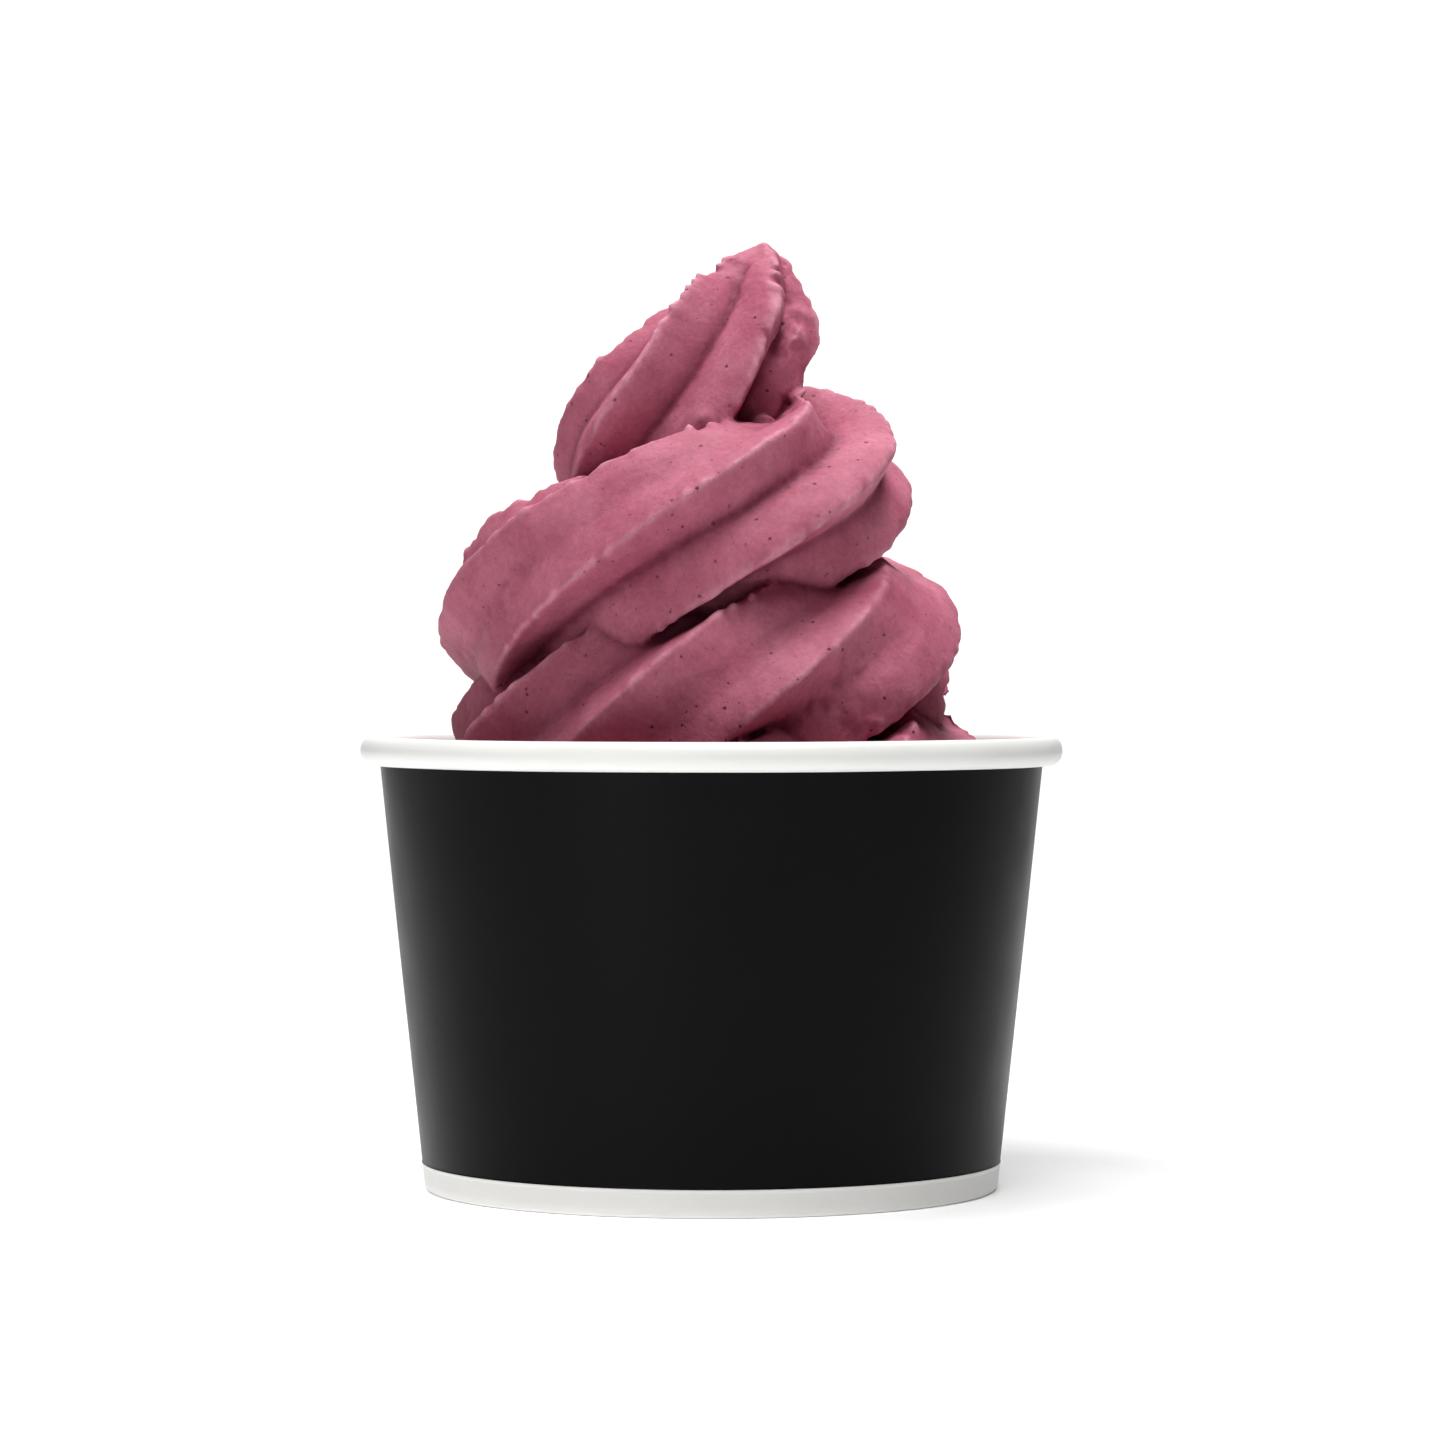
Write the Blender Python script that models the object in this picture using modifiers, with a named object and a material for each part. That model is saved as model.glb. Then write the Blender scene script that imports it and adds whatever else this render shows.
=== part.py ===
"""Cup of soft serve ice cream: a paper cup, filled by one rope of ice cream piped in a rising coil.

Three pieces: the cup's side wall, a single sheet of board that is rolled over at the rim and folded
in at the foot; the cup's base, a disc with a skirt that sits in that fold; and the ice cream, one
solid that fills the cup and stands above it.

Units are metres, +Z is up, and the origin is the middle of the foot that the cup rests on.
"""
import math

import bmesh
import bpy
import numpy as np

MM = 0.001

# The cup, in millimetres: a paper cup of about 240 ml.
CUP_SEGMENTS = 64          # flats round the cup
RIM_RADIUS = 48.0          # outside of the rolled rim
FOOT_RADIUS = 39.1         # outside of the wall where it stands
CUP_HEIGHT = 61.8          # foot to the top of the roll
ROLL_HEIGHT = 3.9          # the roll, top to bottom
ROLL_WIDTH = 2.95          # the roll, inside to outside
ROLL_START = 240.0         # degrees: where the roll's free edge is, 0 outwards and 90 up
ROLL_STEPS = 10            # flats along the roll's section
PAPER = 0.45               # thickness of the board
GAP = 0.3                  # kept between pieces that touch
HEM_HEIGHT = 7.5           # how far the wall folds back up inside the foot
HEM_CHAMFER = 0.4          # eased edge of the fold
BASE_HEIGHT = 9.0          # top of the base disc above the foot
SKIRT_FOOT = 1.0           # lower edge of the base's skirt

# The rope of ice cream: one station for each quarter turn, counted from the left of the uppermost
# full coil, and a few more where it is drawn up into the tip. Each station is
# (turn, reach of the rope's middle from the axis, its height, radius over the ridges,
#  degrees by which the ridges lead an even twist of one turn in each coil,
#  degrees by which the last ridge leads the others).
ROPE_STATIONS = (
    (-2.25, 27.5, 38.0, 16.0, -85, 0),
    (-2.00, 27.5, 41.0, 16.0, -85, 0),
    (-1.75, 27.0, 46.0, 16.0, -85, 0),
    (-1.50, 24.5, 52.0, 15.5, -80, 0),
    (-1.25, 24.0, 54.5, 15.5, -80, 0),
    (-1.00, 22.5, 57.5, 15.0, -75, 0),
    (-0.75, 19.0, 66.5, 15.0, -45, 0),
    (-0.50, 20.5, 72.5, 14.5, -30, 5),
    (-0.25, 22.5, 74.5, 14.0, -20, 5),
    (0.00, 23.5, 78.5, 14.0, -5, 0),
    (0.25, 18.5, 90.0, 13.5, 0, 0),
    (0.50, 14.5, 96.0, 13.0, 0, 5),
    (0.75, 11.5, 98.5, 13.0, 5, 10),
    (1.00, 8.5, 101.5, 13.0, 15, 15),
    (1.25, 4.5, 110.5, 12.0, 10, 15),
    (1.40, 4.5, 116.5, 11.0, 10, 15),
    (1.50, 5.0, 121.0, 9.0, 10, 15),
    (1.56, 6.0, 125.5, 5.5, 10, 15),
    (1.60, 7.2, 129.8, 0.6, 10, 15),
)
ROPE_START = -2.25         # turn at which the rope leaves the bulk in the cup
COIL_TOP = 1.0             # turn from which the rope is drawn up into the tip
ROPE_TIP = 1.60
COIL_STEPS = 34            # stations in each turn of the coil
TIP_STEPS = 22             # stations in the tip
RIDGES = 6                 # ridges that the star nozzle leaves on the rope
RIDGE_START = 85.0 - 90.0  # degrees: the first ridge at turn zero, 0 outwards and 90 up
GROOVE_DEPTHS = (0.27, 0.28, 0.30, 0.34, 0.36, 0.18)   # after each ridge, as shares of the radius
RIDGE_SOFTNESS = 0.09      # 0 makes knife-edged ridges
RIDGE_FLANK = 12.0         # degrees from a ridge to the point on its flank

# The bulk under the coils, and the core that they wind round, as (radius, height).
BULK_TOP = 42.0
CORE_TOP = 95.0
CORE_FOOT_RADIUS = 22.0
CORE_TOP_RADIUS = 5.0
FUSE_SIZE = 1.0            # cell size in which the coils are fused
THIN_RATIO = 0.08          # share of the fused skin's triangles that is kept


def wall_radius(height):
    """Outside of the cup's wall at a height above the foot, a straight cone up into the roll."""
    roll_middle = CUP_HEIGHT - ROLL_HEIGHT / 2
    wall_top = RIM_RADIUS - ROLL_WIDTH + PAPER
    return FOOT_RADIUS + (wall_top - FOOT_RADIUS) * height / roll_middle


def make_material(name, colour, roughness):
    """A Principled material with one colour and roughness."""
    material = bpy.data.materials.new(name)
    material.use_nodes = True
    shader = material.node_tree.nodes["Principled BSDF"]
    shader.inputs["Base Color"].default_value = (*colour, 1.0)
    shader.inputs["Roughness"].default_value = roughness
    return material


def add_object(name, points, edges, faces, collection):
    """A new object from points in millimetres."""
    mesh = bpy.data.meshes.new(name)
    mesh.from_pydata([tuple(float(v) * MM for v in point) for point in points], edges, faces)
    mesh.update()
    item = bpy.data.objects.new(name, mesh)
    collection.objects.link(item)
    return item


def turn_profile(name, profile, collection):
    """Turn (radius, height) points, which run down the outer side, round the cup's axis."""
    points = [(radius, 0.0, height) for radius, height in profile]
    edges = [(i, i + 1) for i in range(len(points) - 1)]
    item = add_object(name, points, edges, [], collection)
    screw = item.modifiers.new("Turn", "SCREW")
    screw.axis = "Z"
    screw.steps = CUP_SEGMENTS
    screw.render_steps = CUP_SEGMENTS
    screw.use_merge_vertices = True
    screw.merge_threshold = 0.00001
    return item


def add_board(item):
    """Give a turned surface the board's thickness, on the side away from the print."""
    solidify = item.modifiers.new("Board", "SOLIDIFY")
    solidify.thickness = PAPER * MM
    solidify.offset = -1.0
    solidify.use_even_offset = True
    return item


def cup_wall_profile():
    """The printed face of the sheet: round inside the roll, down the wall, in and up the hem."""
    middle_radius = RIM_RADIUS - ROLL_WIDTH / 2
    middle_height = CUP_HEIGHT - ROLL_HEIGHT / 2
    turned = math.radians(540.0 - ROLL_START) / ROLL_STEPS
    mitre = PAPER / math.cos(turned / 2)
    half_width = ROLL_WIDTH / 2 - mitre
    half_height = ROLL_HEIGHT / 2 - mitre
    profile = []
    for step in range(ROLL_STEPS + 1):
        angle = math.radians(ROLL_START) + turned * step
        profile.append((middle_radius + half_width * math.cos(angle),
                        middle_height + half_height * math.sin(angle)))
    hem_radius = FOOT_RADIUS - 3 * PAPER - 2 * GAP
    hem_lean = wall_radius(HEM_HEIGHT) - wall_radius(0.0)
    profile += [(wall_radius(height), height) for height in (BASE_HEIGHT, HEM_CHAMFER)]
    profile += [(FOOT_RADIUS - HEM_CHAMFER, 0.0), (hem_radius + HEM_CHAMFER, 0.0),
                (hem_radius, HEM_CHAMFER), (hem_radius + hem_lean, HEM_HEIGHT)]
    return profile


def build_cup(collection):
    """The side wall and the base disc, both of board."""
    wall = add_board(turn_profile("cup_wall", cup_wall_profile(), collection))
    wall.data.materials.append(make_material("black printed board", (0.004, 0.004, 0.004), 0.45))
    inset = PAPER + GAP
    base_profile = [(0.0, BASE_HEIGHT), (wall_radius(BASE_HEIGHT) - inset, BASE_HEIGHT),
                    (wall_radius(SKIRT_FOOT) - inset, SKIRT_FOOT)]
    base = add_board(turn_profile("cup_base", base_profile, collection))
    base.data.materials.append(make_material("white board", (0.8, 0.8, 0.78), 0.6))


def ease_through(stations, turns):
    """A smooth curve through the stations' values, one column for each, at the given turns.

    Between two stations it is a cubic whose end slopes are those of the stations' neighbours.
    """
    table = np.array(stations, dtype=float)
    knots, values = table[:, 0], table[:, 1:]
    slopes = np.gradient(values, knots, axis=0)
    index = np.clip(np.searchsorted(knots, turns, side="right") - 1, 0, len(knots) - 2)
    width = (knots[index + 1] - knots[index])[:, None]
    s = (turns - knots[index])[:, None] / width
    return ((2 * s**3 - 3 * s**2 + 1) * values[index] + (s**3 - 2 * s**2 + s) * width * slopes[index]
            + (3 * s**2 - 2 * s**3) * values[index + 1] + (s**3 - s**2) * width * slopes[index + 1])


def ridge_factor(angle):
    """Radius of the rope's star section: 1 on a ridge, and less by its depth in a groove."""
    depth = np.array(GROOVE_DEPTHS)[np.floor(angle * RIDGES / (2 * math.pi) + 1e-6).astype(int)]
    wave = np.abs(np.sin(angle * RIDGES / 2))
    eased = np.sqrt(wave**2 + RIDGE_SOFTNESS**2) - RIDGE_SOFTNESS
    return 1 - depth * eased / (math.sqrt(1 + RIDGE_SOFTNESS**2) - RIDGE_SOFTNESS)


def last_ridge_share(angle):
    """How far a point of the section goes with the last ridge: 1 on it, 0 at its neighbours."""
    pitch = 2 * math.pi / RIDGES
    near = np.clip(1 - np.abs(angle - (RIDGES - 1) * pitch) / pitch, 0.0, 1.0)
    return near * near * (3 - 2 * near)


def section_angles():
    """Angles round the section: a ridge, its two flanks and a groove for each of the ridges."""
    flank = math.radians(RIDGE_FLANK)
    pitch = 2 * math.pi / RIDGES
    return np.array([ridge * pitch + step for ridge in range(RIDGES)
                     for step in (0.0, flank, pitch / 2, pitch - flank)])


def rope_points():
    """The rope as rings of points: a star section carried along a narrowing, rising helix."""
    coil = np.arange(ROPE_START, COIL_TOP, 1 / COIL_STEPS)
    tip = np.linspace(COIL_TOP, ROPE_TIP, TIP_STEPS)
    turns = np.concatenate([coil, tip])
    reach, height, radius, lead, last_lead = ease_through(ROPE_STATIONS, turns).T
    bearing = math.pi + 2 * math.pi * turns
    middle = np.stack([reach * np.cos(bearing), reach * np.sin(bearing), height], axis=1)
    along = np.gradient(middle, turns, axis=0)
    along /= np.linalg.norm(along, axis=1, keepdims=True)
    outward = np.stack([np.cos(bearing), np.sin(bearing), np.zeros_like(bearing)], axis=1)
    outward -= np.sum(outward * along, axis=1, keepdims=True) * along
    outward /= np.linalg.norm(outward, axis=1, keepdims=True)
    upward = np.cross(outward, along)
    angles = section_angles()
    twist = np.radians(RIDGE_START + lead) + 2 * math.pi * turns
    turned = np.radians(last_lead)[:, None] * last_ridge_share(angles)[None, :]
    spin = (twist[:, None] + angles[None, :] + turned)[..., None]
    rho = (radius[:, None] * ridge_factor(angles)[None, :])[..., None]
    return middle[:, None] + rho * (np.cos(spin) * outward[:, None] + np.sin(spin) * upward[:, None])


def build_rope(collection):
    """A loft through the rope's rings, closed at both ends. Its coils overlap each other."""
    rings = rope_points()
    count, around = rings.shape[:2]
    faces = []
    for ring in range(count - 1):
        for step in range(around):
            after = (step + 1) % around
            low, high = ring * around, (ring + 1) * around
            faces.append((low + step, high + step, high + after, low + after))
    faces.append(tuple(range(around)))
    faces.append(tuple(reversed(range((count - 1) * around, count * around))))
    return add_object("ice_cream", rings.reshape(-1, 3), [], faces, collection)


def join_shape(item, other):
    """Add another object's evaluated shape to an object's mesh."""
    view = bpy.context.evaluated_depsgraph_get()
    shape = bpy.data.meshes.new_from_object(other.evaluated_get(view))
    joined = bmesh.new()
    joined.from_mesh(item.data)
    joined.from_mesh(shape)
    joined.to_mesh(item.data)
    joined.free()
    bpy.data.meshes.remove(shape)


def fuse(item):
    """Fuse an object's overlapping shapes into one closed skin, then thin its triangles.

    The skin is rebuilt face by face before it is thinned. That puts its edges in one order on any
    machine, and the thinning, which works along the edges, always gives the same triangles.
    """
    remesh = item.modifiers.new("Fuse", "REMESH")
    remesh.mode = "VOXEL"
    remesh.voxel_size = FUSE_SIZE * MM
    remesh.adaptivity = 0.0
    view = bpy.context.evaluated_depsgraph_get()
    skin = bpy.data.meshes.new_from_object(item.evaluated_get(view))
    rebuilt = bmesh.new()
    corners = [rebuilt.verts.new(vertex.co) for vertex in skin.vertices]
    for polygon in skin.polygons:
        rebuilt.faces.new([corners[index] for index in polygon.vertices])
    item.modifiers.remove(remesh)
    rebuilt.to_mesh(item.data)
    rebuilt.free()
    bpy.data.meshes.remove(skin)
    item.modifiers.new("Thin", "DECIMATE").ratio = THIN_RATIO


def trim(item, room):
    """Keep only what lies inside a tool."""
    boolean = item.modifiers.new("Trim", "BOOLEAN")
    boolean.operation = "INTERSECT"
    boolean.solver = "EXACT"
    boolean.object = room


def as_guide(item):
    """Show a tool as a wire and leave it out of renders."""
    item.hide_render = True
    item.display_type = "WIRE"
    return item


def build_ice_cream(collection, tools):
    """The rope fused with the bulk and core under it, and trimmed to the inside of the cup."""
    rope = build_rope(collection)
    over = 1.0
    core_profile = [(0.0, CORE_TOP), (CORE_TOP_RADIUS, CORE_TOP - 1), (CORE_FOOT_RADIUS, BULK_TOP),
                    (wall_radius(BULK_TOP) + over, BULK_TOP), (FOOT_RADIUS + over, BASE_HEIGHT - over),
                    (0.0, BASE_HEIGHT - over)]
    core = as_guide(turn_profile("bulk and core", core_profile, tools))
    inset = PAPER + GAP
    floor = BASE_HEIGHT + GAP
    top = 2.5 * CUP_HEIGHT
    room_profile = [(0.0, top), (wall_radius(top) - inset, top),
                    (wall_radius(floor) - inset, floor), (0.0, floor)]
    room = as_guide(turn_profile("inside of the cup", room_profile, tools))
    join_shape(rope, core)
    fuse(rope)
    trim(rope, room)
    rope.data.materials.append(make_material("berry soft serve", (0.36, 0.10, 0.15), 0.55))


def main():
    """Build the three pieces in an empty scene."""
    for item in list(bpy.data.objects):
        bpy.data.objects.remove(item, do_unlink=True)
    collection = bpy.data.collections.new("cup of soft serve")
    tools = bpy.data.collections.new("tools")
    bpy.context.scene.collection.children.link(collection)
    bpy.context.scene.collection.children.link(tools)
    build_cup(collection)
    build_ice_cream(collection, tools)


main()
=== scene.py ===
"""The looks of a paper cup of berry soft serve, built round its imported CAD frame.

Three pieces stand for the three CAD solids: the cup's side wall, its base, and the ice cream.
Sizes in the dataclasses are millimetres, and become metres where a mesh is made. +Z is up, -Y is
the side that the camera sees, and the origin is the middle of the cup's foot.
"""

import itertools
import logging
import math
from dataclasses import dataclass, field
from enum import Enum
from typing import Any

import bmesh
import bpy
import numpy as np
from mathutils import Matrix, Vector


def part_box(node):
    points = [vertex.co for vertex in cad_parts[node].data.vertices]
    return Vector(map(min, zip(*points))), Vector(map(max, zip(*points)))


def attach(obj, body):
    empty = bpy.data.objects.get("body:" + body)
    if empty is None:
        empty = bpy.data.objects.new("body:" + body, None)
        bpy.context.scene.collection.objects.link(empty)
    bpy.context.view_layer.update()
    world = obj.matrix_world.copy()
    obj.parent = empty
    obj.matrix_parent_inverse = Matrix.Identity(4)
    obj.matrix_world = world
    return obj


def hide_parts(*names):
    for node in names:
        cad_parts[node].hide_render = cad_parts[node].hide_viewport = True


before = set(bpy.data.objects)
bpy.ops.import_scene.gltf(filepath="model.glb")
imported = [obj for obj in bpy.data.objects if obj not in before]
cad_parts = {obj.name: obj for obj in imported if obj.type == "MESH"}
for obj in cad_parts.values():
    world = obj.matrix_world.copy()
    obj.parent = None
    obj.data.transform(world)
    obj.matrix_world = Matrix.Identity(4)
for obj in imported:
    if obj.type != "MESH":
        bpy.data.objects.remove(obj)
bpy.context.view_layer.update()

MM = 0.001
# How deep each point of the ice cream lies in a groove; its finish paints shade and a highlight
# from it.
HOLLOW = "depth in hollows"
log = logging.getLogger("soft_serve_cup")


# ---------------------------------------------------------------------------------------------
# Small helpers
# ---------------------------------------------------------------------------------------------

def linear(hex_colour: str) -> tuple[float, float, float, float]:
    """Turn an sRGB hex colour into the linear colour that shaders take.

    Args:
        hex_colour: Six hex digits, such as "A05068".

    Returns:
        Linear red, green, blue and an alpha of one.
    """
    channels = [int(hex_colour[i:i + 2], 16) / 255 for i in (0, 2, 4)]
    curved = [c / 12.92 if c <= 0.04045 else ((c + 0.055) / 1.055) ** 2.4 for c in channels]
    return curved[0], curved[1], curved[2], 1.0


def add_node(tree: bpy.types.NodeTree, kind: str, settings: dict[str, Any] | None = None,
             inputs: dict[str | int, Any] | None = None) -> bpy.types.Node:
    """Add a node with its settings, its input values and the links into it.

    Args:
        tree: The node tree of a material or world.
        kind: The node's type name.
        settings: Attributes to set on the node.
        inputs: For an input's name or number, a value or the output socket linked to it.

    Returns:
        The new node.
    """
    node = tree.nodes.new(kind)
    for name, value in (settings or {}).items():
        setattr(node, name, value)
    for name, value in (inputs or {}).items():
        if isinstance(value, bpy.types.NodeSocket):
            tree.links.new(value, node.inputs[name])
        else:
            node.inputs[name].default_value = value
    return node


def noise_of(tree: bpy.types.NodeTree, place: bpy.types.NodeSocket, size: float,
             detail: float, roughness: float = 0.5) -> bpy.types.NodeSocket:
    """Add a noise texture of a real size.

    Args:
        tree: The material's nodes.
        place: Object coordinates.
        size: Of one cell of the noise in millimetres.
        detail: How many finer layers lie on it.
        roughness: How strong each finer layer is against the one before.

    Returns:
        Its value, mostly between 0.3 and 0.7.
    """
    return add_node(tree, "ShaderNodeTexNoise", inputs={
        "Vector": place, "Scale": 1 / (size * MM), "Detail": detail,
        "Roughness": roughness}).outputs["Fac"]


def smooth_step(low: float, high: float, value: np.ndarray) -> np.ndarray:
    """Ease from 0 at low to 1 at high as 3x^2 - 2x^3.

    Args:
        low: Where the step starts.
        high: Where it ends.
        value: Places to evaluate.

    Returns:
        The eased values.
    """
    x = np.clip((value - low) / (high - low), 0.0, 1.0)
    return x * x * (3 - 2 * x)


def lattice_noise(points: np.ndarray, seed: int) -> np.ndarray:
    """Smooth noise from one random value at each point of a unit lattice.

    The eight values round a point are blended with the weights 3f^2 - 2f^3 along each axis,
    where f is the point's place in its cell. Each value is a scrambled product of the lattice
    point's whole numbers and the seed.

    Args:
        points: Array (..., 3), in cells.
        seed: Picks one of many noises.

    Returns:
        Array (...) of values between -1 and 1.
    """
    cell = np.floor(points).astype(np.int64)
    part = points - cell
    ease = part * part * (3 - 2 * part)
    total = np.zeros(points.shape[:-1])
    for corner in itertools.product((0, 1), repeat=3):
        x, y, z = (cell[..., axis] + corner[axis] for axis in range(3))
        key = (x * 374761393 + y * 668265263 + z * 1442695041 + seed * 974711) & 0xFFFFFFFF
        key = ((key ^ (key >> 13)) * 1274126177) & 0xFFFFFFFF
        value = ((key ^ (key >> 16)) & 0xFFFF) / 32767.5 - 1
        weight = np.prod([ease[..., axis] if corner[axis] else 1 - ease[..., axis]
                          for axis in range(3)], axis=0)
        total += weight * value
    return total


def layered_noise(points: np.ndarray, size: float, layers: int, seed: int) -> np.ndarray:
    """Noise with finer noise on top, each layer half as large and half as strong.

    Args:
        points: Array (..., 3) in millimetres.
        size: Cell size of the coarsest layer in millimetres.
        layers: How many layers.
        seed: Picks one of many noises.

    Returns:
        Array (...) of values mostly between -1 and 1.
    """
    total = np.zeros(points.shape[:-1])
    for layer in range(layers):
        total += lattice_noise(points * 2**layer / size + 17.3 * layer, seed + layer) / 2**layer
    return total / (2 - 2.0 ** (1 - layers))


def mesh_from_grid(name: str, grid: np.ndarray, close_rows: bool, cap_ends: bool,
                   close_columns: bool = True) -> bpy.types.Mesh:
    """A mesh from a grid of points, which mostly closes on itself across each row.

    Point (i, j) joins (i + 1, j) and (i, j + 1), and a face's normal is the row step crossed with
    the column step.

    Args:
        name: The mesh's name.
        grid: Array (rows, columns, 3) in millimetres.
        close_rows: Whether the last row joins the first.
        cap_ends: Whether the first and last rows are each filled by one face.
        close_columns: Whether the last column joins the first.

    Returns:
        The mesh, in metres.
    """
    rows, columns = grid.shape[:2]
    row = np.arange(rows if close_rows else rows - 1)[:, None]
    column = np.arange(columns if close_columns else columns - 1)[None, :]
    after_row, after_column = (row + 1) % rows, (column + 1) % columns
    faces = np.stack([row * columns + column, after_row * columns + column,
                      after_row * columns + after_column, row * columns + after_column], axis=-1)
    polygons = faces.reshape(-1, 4).tolist()
    if cap_ends:
        polygons.append(list(range(columns)))
        polygons.append(list(range(rows * columns - 1, (rows - 1) * columns - 1, -1)))
    mesh = bpy.data.meshes.new(name)
    mesh.from_pydata((grid.reshape(-1, 3) * MM).tolist(), [], polygons)
    mesh.update()
    return mesh


def join_poles(mesh: bpy.types.Mesh) -> None:
    """Close a turned mesh on its axis, where each row of points has come to one place.

    Args:
        mesh: The mesh to mend.
    """
    work = bmesh.new()
    work.from_mesh(mesh)
    bmesh.ops.remove_doubles(work, verts=work.verts, dist=1e-7)
    loose = [edge for edge in work.edges if not edge.link_faces]
    bmesh.ops.delete(work, geom=loose, context="EDGES")
    work.to_mesh(mesh)
    work.free()


def drop_crumbs(mesh: bpy.types.Mesh) -> None:
    """Mend slivers, and delete every loose shell of a mesh but the largest.

    Each vertex starts with its own number and takes the lowest number at the far ends of its
    edges, again and again, until each shell shares one.

    Args:
        mesh: The mesh to clean.
    """
    work = bmesh.new()
    work.from_mesh(mesh)
    bmesh.ops.dissolve_degenerate(work, edges=work.edges, dist=1e-6)
    work.to_mesh(mesh)
    ends = ends_of(mesh)
    label, settled = np.arange(len(mesh.vertices)), False
    while not settled:
        lower = label.copy()
        np.minimum.at(lower, ends.ravel(), np.repeat(label[ends].min(axis=1), 2))
        lower = lower[lower]
        settled = np.array_equal(lower, label)
        label = lower
    largest = np.bincount(label).argmax()
    work.verts.ensure_lookup_table()
    crumbs = [work.verts[index] for index in np.flatnonzero(label != largest)]
    bmesh.ops.delete(work, geom=crumbs, context="VERTS")
    work.to_mesh(mesh)
    work.free()


def show(name: str, mesh: bpy.types.Mesh) -> bpy.types.Object:
    """Put a mesh in the scene, shaded smooth, as an object at the origin.

    Args:
        name: The object's name.
        mesh: Its mesh.

    Returns:
        The object.
    """
    mesh.name = name
    mesh.shade_smooth()
    item = bpy.data.objects.new(name, mesh)
    bpy.context.scene.collection.objects.link(item)
    return item


def points_of(mesh: bpy.types.Mesh, layer: str = "co") -> np.ndarray:
    """The vertices' places in millimetres, or their normals.

    Args:
        mesh: The mesh to read.
        layer: "co" for places, "normal" for normals.

    Returns:
        Array (vertices, 3).
    """
    flat = np.empty(len(mesh.vertices) * 3, np.float32)
    mesh.vertices.foreach_get(layer, flat)
    return flat.reshape(-1, 3).astype(float) / (MM if layer == "co" else 1.0)


def place_points(mesh: bpy.types.Mesh, points: np.ndarray) -> None:
    """Move a mesh's vertices to new places.

    Args:
        mesh: The mesh to change.
        points: Array (vertices, 3) in millimetres.
    """
    mesh.vertices.foreach_set("co", (points * MM).astype(np.float32).ravel())
    mesh.update()


def ends_of(mesh: bpy.types.Mesh) -> np.ndarray:
    """The numbers of the two vertices of each edge, as an array (edges, 2)."""
    ends = np.empty(len(mesh.edges) * 2, np.int32)
    mesh.edges.foreach_get("vertices", ends)
    return ends.reshape(-1, 2)


def hollow_depth(mesh: bpy.types.Mesh, rounds: int) -> np.ndarray:
    """How deep each vertex lies in a hollow of a mesh.

    Round after round each vertex goes halfway to the mean of its neighbours, which fills the
    grooves and wears the ridges down. The depth is how far out along its normal that took it.

    Args:
        mesh: A mesh of even, small faces.
        rounds: How many rounds, so how wide the hollows are that count.

    Returns:
        Array (vertices) in millimetres, negative on a ridge.
    """
    first, second = ends_of(mesh).T
    points, count = points_of(mesh), len(mesh.vertices)
    neighbours = np.bincount(first, minlength=count) + np.bincount(second, minlength=count)
    worn = points.copy()
    for _ in range(rounds):
        around = [np.bincount(first, worn[second, axis], count)
                  + np.bincount(second, worn[first, axis], count) for axis in range(3)]
        worn = (worn + np.stack(around, axis=1) / neighbours[:, None]) / 2
    return np.sum((worn - points) * points_of(mesh, "normal"), axis=1)


def finished_mesh(item: bpy.types.Object) -> bpy.types.Mesh:
    """The mesh that an object's modifiers make.

    Args:
        item: The object.

    Returns:
        A new mesh.
    """
    view = bpy.context.evaluated_depsgraph_get()
    return bpy.data.meshes.new_from_object(item.evaluated_get(view))


# ---------------------------------------------------------------------------------------------
# Finishes
# ---------------------------------------------------------------------------------------------

class BoardSide(Enum):
    """The sides of the cup's board, with the colour that each shows."""

    PRINTED = "0C0C0C"
    COATED = "E9E9E6"
    FOOT_BAND = "E1E0DD"


@dataclass(frozen=True)
class BoardFinish:
    """PE-coated paperboard: a milky plastic film over pressed paper.

    The film gives a soft satin gloss, and the fibres under it a faint unevenness. The printed side
    carries a solid black offset print, which shows the gloss far more than the white side does.

    Attributes:
        side: Which side of the board this is.
        roughness: Of the film.
        specular: Specular level. The black ink soaks up most of the film's gloss.
        fibre_size: Length of a paper fibre clump in millimetres.
        fibre_depth: Height of the relief in millimetres.
        cloud_size: Size of the patches where the film is thicker, in millimetres.
    """

    side: BoardSide
    roughness: float = 0.42
    specular: float = 0.5
    fibre_size: float = 0.9
    fibre_depth: float = 0.012
    cloud_size: float = 14.0

    def material(self) -> bpy.types.Material:
        """Make the board's material.

        Returns:
            A Principled material on Object coordinates.
        """
        material = bpy.data.materials.new(f"PE-coated paperboard, {self.side.name.lower()}")
        material.use_nodes = True
        tree = material.node_tree
        shader = tree.nodes["Principled BSDF"]
        place = add_node(tree, "ShaderNodeTexCoord").outputs["Object"]
        fibres = noise_of(tree, place, self.fibre_size, 3.0, 0.6)
        cloud = noise_of(tree, place, self.cloud_size, 2.0)
        tint = add_node(tree, "ShaderNodeMixRGB", {"blend_type": "MULTIPLY"}, {
            "Fac": 0.05, "Color1": linear(self.side.value), "Color2": cloud})
        gloss = add_node(tree, "ShaderNodeMapRange", inputs={
            "Value": cloud, "From Min": 0.3, "From Max": 0.7,
            "To Min": self.roughness - 0.04, "To Max": self.roughness + 0.05})
        relief = add_node(tree, "ShaderNodeBump", inputs={
            "Height": fibres, "Strength": 0.35, "Distance": self.fibre_depth * MM})
        tree.links.new(tint.outputs["Color"], shader.inputs["Base Color"])
        tree.links.new(gloss.outputs["Result"], shader.inputs["Roughness"])
        tree.links.new(relief.outputs["Normal"], shader.inputs["Normal"])
        shader.inputs["IOR"].default_value = 1.5
        shader.inputs["Specular IOR Level"].default_value = self.specular
        return material


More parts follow.
